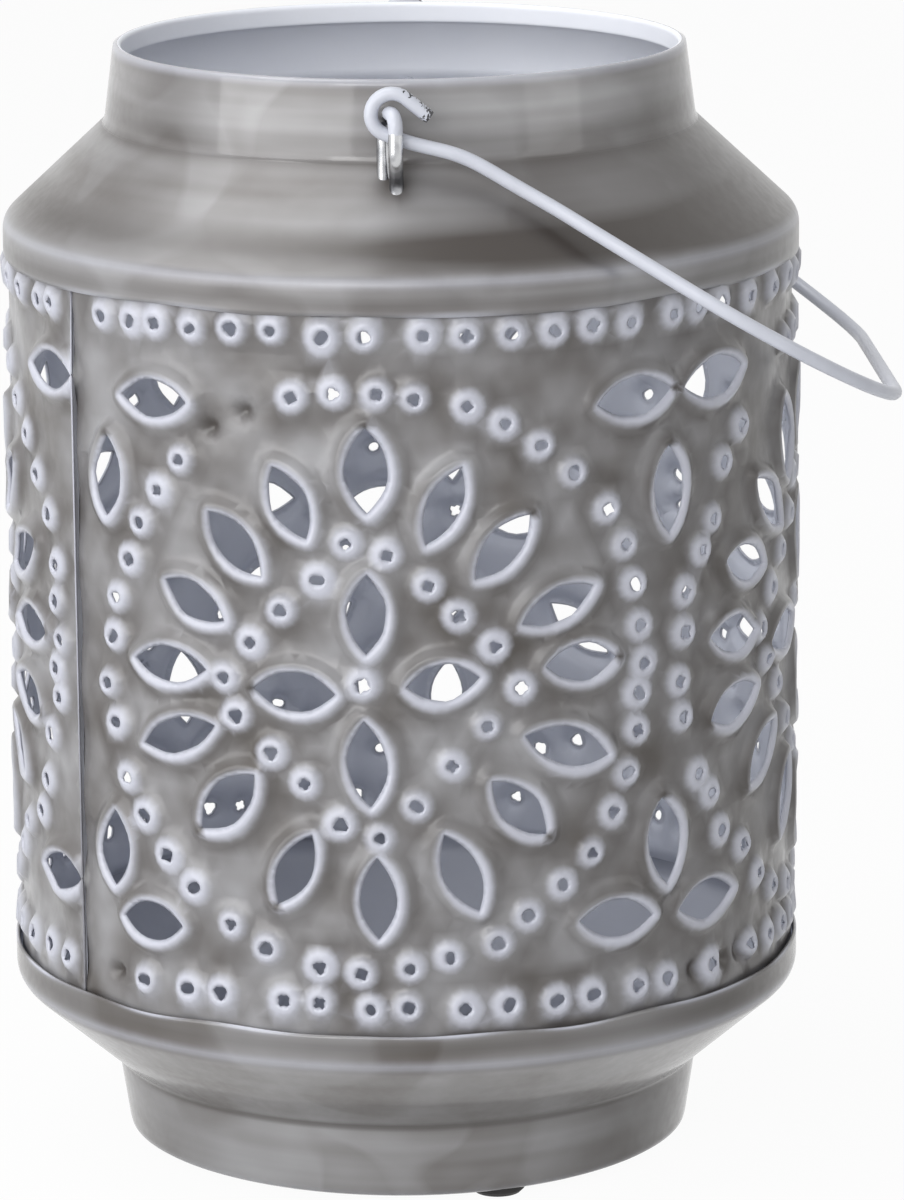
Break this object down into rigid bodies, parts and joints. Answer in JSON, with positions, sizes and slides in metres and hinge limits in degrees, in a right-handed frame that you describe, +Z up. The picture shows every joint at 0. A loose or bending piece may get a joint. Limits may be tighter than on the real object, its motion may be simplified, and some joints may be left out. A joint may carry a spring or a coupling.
{
  "type": "punched tin lantern",
  "caption": "Round punched tin lantern with an open neck, a wall pierced in rosettes, a footed base on rubber feet and a wire bail that swings in wire eyes.",
  "frame": {"origin": "centre of the candle seat, on the top of the floor disc", "axes": "+Z up along the lantern's axis, -Y to the front, the bail hangs over +X"},
  "size_m": [0.1777, 0.1596, 0.224],
  "materials": {
    "lacquered_tin": "grey lacquer over tin, glossy, worn white on the punched edges",
    "white_painted_wire": "gloss white paint",
    "plated_steel": "plated wire with traces of paint",
    "black_rubber": "matt"
  },
  "bodies": {
    "lantern": {"neck_shoulder": "lacquered_tin", "punched_wall": "lacquered_tin", "base_shell": "lacquered_tin", "floor_plate": "lacquered_tin", "eye_front": "plated_steel", "eye_back": "plated_steel", "rubber_foot_1": "black_rubber", "rubber_foot_2": "black_rubber", "rubber_foot_3": "black_rubber"},
    "bail": {"bail_handle": "white_painted_wire"}
  },
  "joints": [
    {"name": "bail_swing", "type": "hinge", "parent": "lantern", "child": "bail", "pos_m": [0, 0, 0.2151], "axis": [0, -1, 0], "range_deg": [0, 245]}
  ]
}
